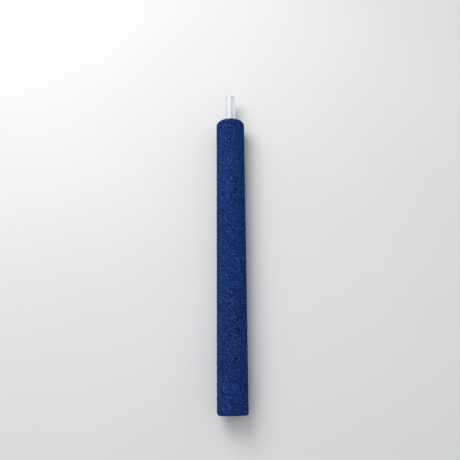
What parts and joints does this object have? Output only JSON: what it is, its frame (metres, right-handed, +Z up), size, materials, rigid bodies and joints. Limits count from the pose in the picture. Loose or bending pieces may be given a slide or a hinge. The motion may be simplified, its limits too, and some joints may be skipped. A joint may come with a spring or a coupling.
{
  "type": "air stone",
  "caption": "Round porous stick that turns pumped air into fine bubbles, with a blind air channel inside and a bonded plastic airline nozzle at one end.",
  "frame": {"origin": "on the surface the stone lies on, under the middle of its whole length, nozzle included", "axes": "+Y along the stone towards the nozzle's tip, +Z up from the surface it lies on"},
  "size_m": [0.015, 0.166, 0.0148],
  "materials": {
    "porous_stone": "matte, bonded blue grains with open pores",
    "nozzle_plastic": "satin translucent natural polyethylene",
    "clear_adhesive": "glossy clear set resin, slightly milky"
  },
  "bodies": {
    "root": {"stone_body": "porous_stone", "inlet_nozzle": "nozzle_plastic", "nozzle_adhesive": "clear_adhesive"}
  },
  "joints": []
}
